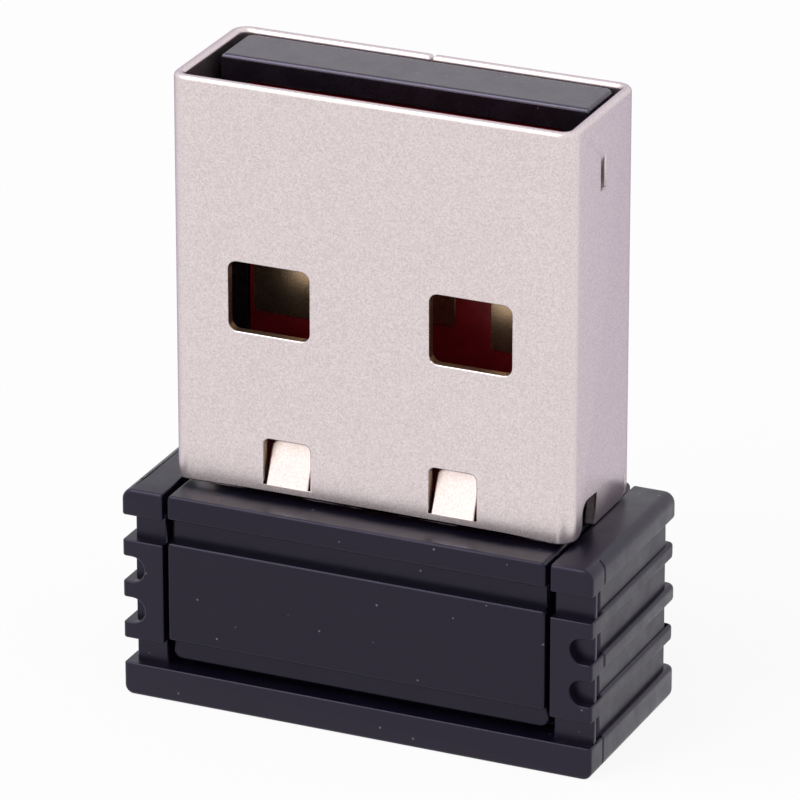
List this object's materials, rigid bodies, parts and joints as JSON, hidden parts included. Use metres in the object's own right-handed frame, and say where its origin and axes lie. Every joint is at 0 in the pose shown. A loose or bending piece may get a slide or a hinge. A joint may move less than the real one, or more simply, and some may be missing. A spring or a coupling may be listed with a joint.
{
  "type": "usb wifi adapter",
  "caption": "Nano USB wireless adapter: a bare folded steel USB-A plug with contacts and board on a small ribbed black grip cap with a flush face panel.",
  "frame": {"origin": "middle of the underside of the grip cap", "axes": "+Z from the cap along the plug to its open end, X across the plug's width, -Y the contact side with the front panel"},
  "size_m": [0.0142, 0.0062, 0.0184],
  "materials": {
    "satin_nickel": "satin nickel plated steel sheet",
    "grip_plastic": "satin moulded black ABS",
    "housing_plastic": "satin moulded black ABS",
    "tongue_plastic": "moulded black thermoplastic",
    "solder_mask": "dark red solder mask",
    "gold_plate": "gold plate",
    "mould_compound": "black epoxy moulding compound",
    "nickel_can": "nickel plated can",
    "antenna_ceramic": "fired ceramic",
    "clear_epoxy": "clear epoxy",
    "ferrite": "sintered ferrite",
    "capacitor_ceramic": "fired tan ceramic"
  },
  "bodies": {
    "root": {"plug_shell": "satin_nickel", "plug_tongue": "tongue_plastic", "circuit_board": "solder_mask", "contact_power": "gold_plate", "contact_data_minus": "gold_plate", "contact_data_plus": "gold_plate", "contact_ground": "gold_plate", "wifi_chip": "mould_compound", "crystal": "nickel_can", "chip_antenna": "antenna_ceramic", "status_led": "clear_epoxy", "voltage_regulator": "mould_compound", "power_inductor": "ferrite", "grip_cap": "grip_plastic", "front_housing": "housing_plastic", "rear_housing": "housing_plastic", "capacitor_1": "capacitor_ceramic", "capacitor_2": "capacitor_ceramic", "capacitor_3": "capacitor_ceramic", "capacitor_4": "capacitor_ceramic", "capacitor_5": "capacitor_ceramic", "capacitor_6": "capacitor_ceramic", "resistor_1": "mould_compound", "resistor_2": "mould_compound", "resistor_3": "mould_compound"}
  },
  "joints": []
}
